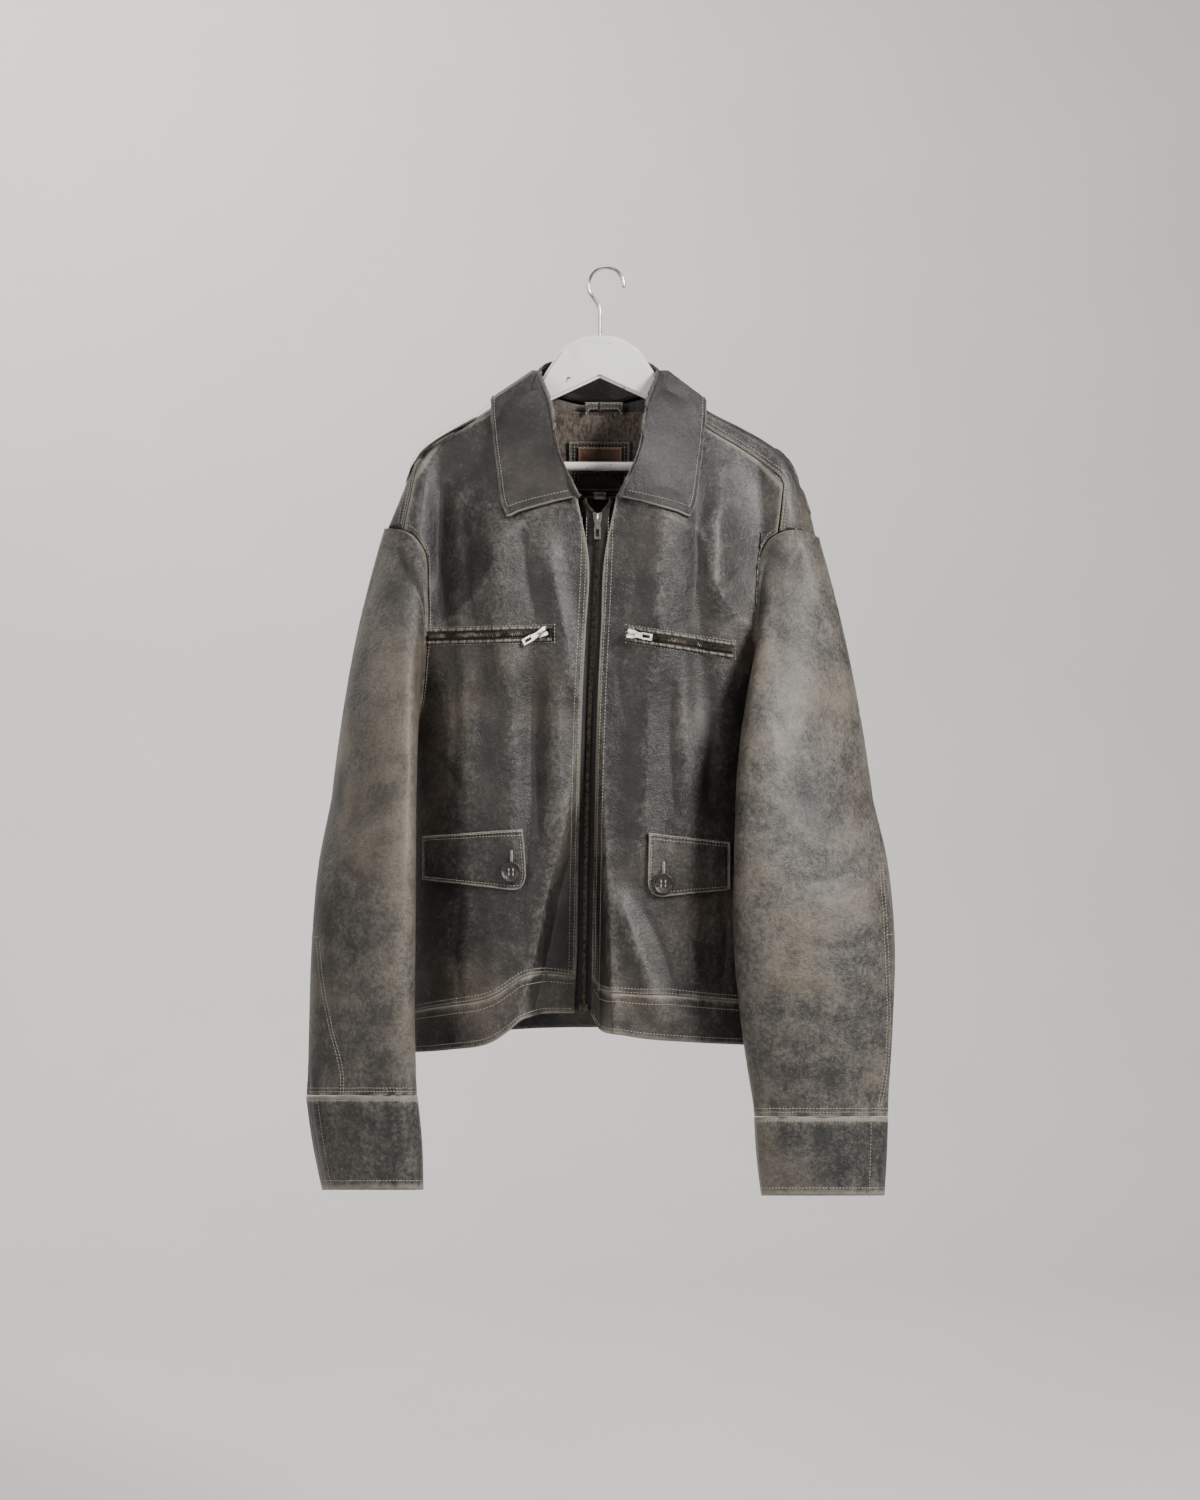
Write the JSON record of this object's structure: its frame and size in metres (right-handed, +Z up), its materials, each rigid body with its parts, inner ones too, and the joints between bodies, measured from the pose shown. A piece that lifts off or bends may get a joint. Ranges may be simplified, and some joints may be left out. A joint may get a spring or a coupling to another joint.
{
  "type": "worn leather jacket on a clothes hanger",
  "caption": "Worn dark leather zip jacket with shirt collar, chest zips and buttoned pocket flaps, hanging on a white wooden clothes hanger.",
  "frame": {"origin": "inside top of the hanger's hook, where a rail or line carries it", "axes": "+Z up, -Y the jacket's front, +X towards the wearer's left"},
  "size_m": [0.6015, 0.2081, 0.9658],
  "materials": {
    "white_paint": "satin white paint on wood, small chips",
    "steel_wire": "plated wire",
    "body_leather": "waxed, worn dark grey-brown",
    "sleeve_leather": "worn grey-brown",
    "under_sleeve_leather": "worn grey-brown",
    "band_leather": "worn, rubbed edges",
    "collar_leather": "dark, rubbed edges",
    "facing_suede": "matt brown-grey",
    "label_leather": "bare brown plate",
    "label_cloth": "woven",
    "tag_cloth": "woven",
    "zip_tape": "woven",
    "brass_teeth": "antiqued",
    "nickel": "polished nickel plate",
    "button_horn": "dark brown, polished"
  },
  "bodies": {
    "jacket": {"hanger_wood": "white_paint", "hanger_bar": "white_paint", "hanger_hook": "steel_wire", "right_front": "body_leather", "left_front": "body_leather", "back": "body_leather", "right_upper_sleeve": "sleeve_leather", "left_upper_sleeve": "sleeve_leather", "right_under_sleeve": "under_sleeve_leather", "left_under_sleeve": "under_sleeve_leather", "right_hem_band": "band_leather", "left_hem_band": "band_leather", "back_hem_band": "band_leather", "right_cuff": "band_leather", "left_cuff": "band_leather", "right_pocket_flap": "band_leather", "left_pocket_flap": "band_leather", "collar": "collar_leather", "hanger_loop": "collar_leather", "label_frame": "collar_leather", "neck_facing": "facing_suede", "label_plate": "label_leather", "sewn_label": "label_cloth", "size_tag": "tag_cloth", "right_zip_tape": "zip_tape", "left_zip_tape": "zip_tape", "right_chest_tape": "zip_tape", "left_chest_tape": "zip_tape", "zip_chain": "brass_teeth", "right_chest_chain": "brass_teeth", "left_chest_chain": "brass_teeth", "zip_slider": "nickel", "right_chest_slider": "nickel", "left_chest_slider": "nickel", "right_flap_button": "button_horn", "left_flap_button": "button_horn"},
    "zip_pull_tab": {"zip_pull": "nickel"},
    "right_chest_pull_tab": {"right_chest_pull": "nickel"},
    "left_chest_pull_tab": {"left_chest_pull": "nickel"}
  },
  "joints": [
    {"name": "zip_pull_swing", "type": "hinge", "parent": "jacket", "child": "zip_pull_tab", "pos_m": [-0.00886, -0.06657, -0.27016], "axis": [-1, 0.0044, 0.0004], "range_deg": [0, 110]},
    {"name": "right_chest_pull_swing", "type": "hinge", "parent": "jacket", "child": "right_chest_pull_tab", "pos_m": [-0.06926, -0.07966, -0.38677], "axis": [-0.4097, 0.2004, 0.8899], "range_deg": [0, 110]},
    {"name": "left_chest_pull_swing", "type": "hinge", "parent": "jacket", "child": "left_chest_pull_tab", "pos_m": [0.0287, -0.08252, -0.38722], "axis": [-0.1865, 0.0278, -0.9821], "range_deg": [0, 110]}
  ]
}
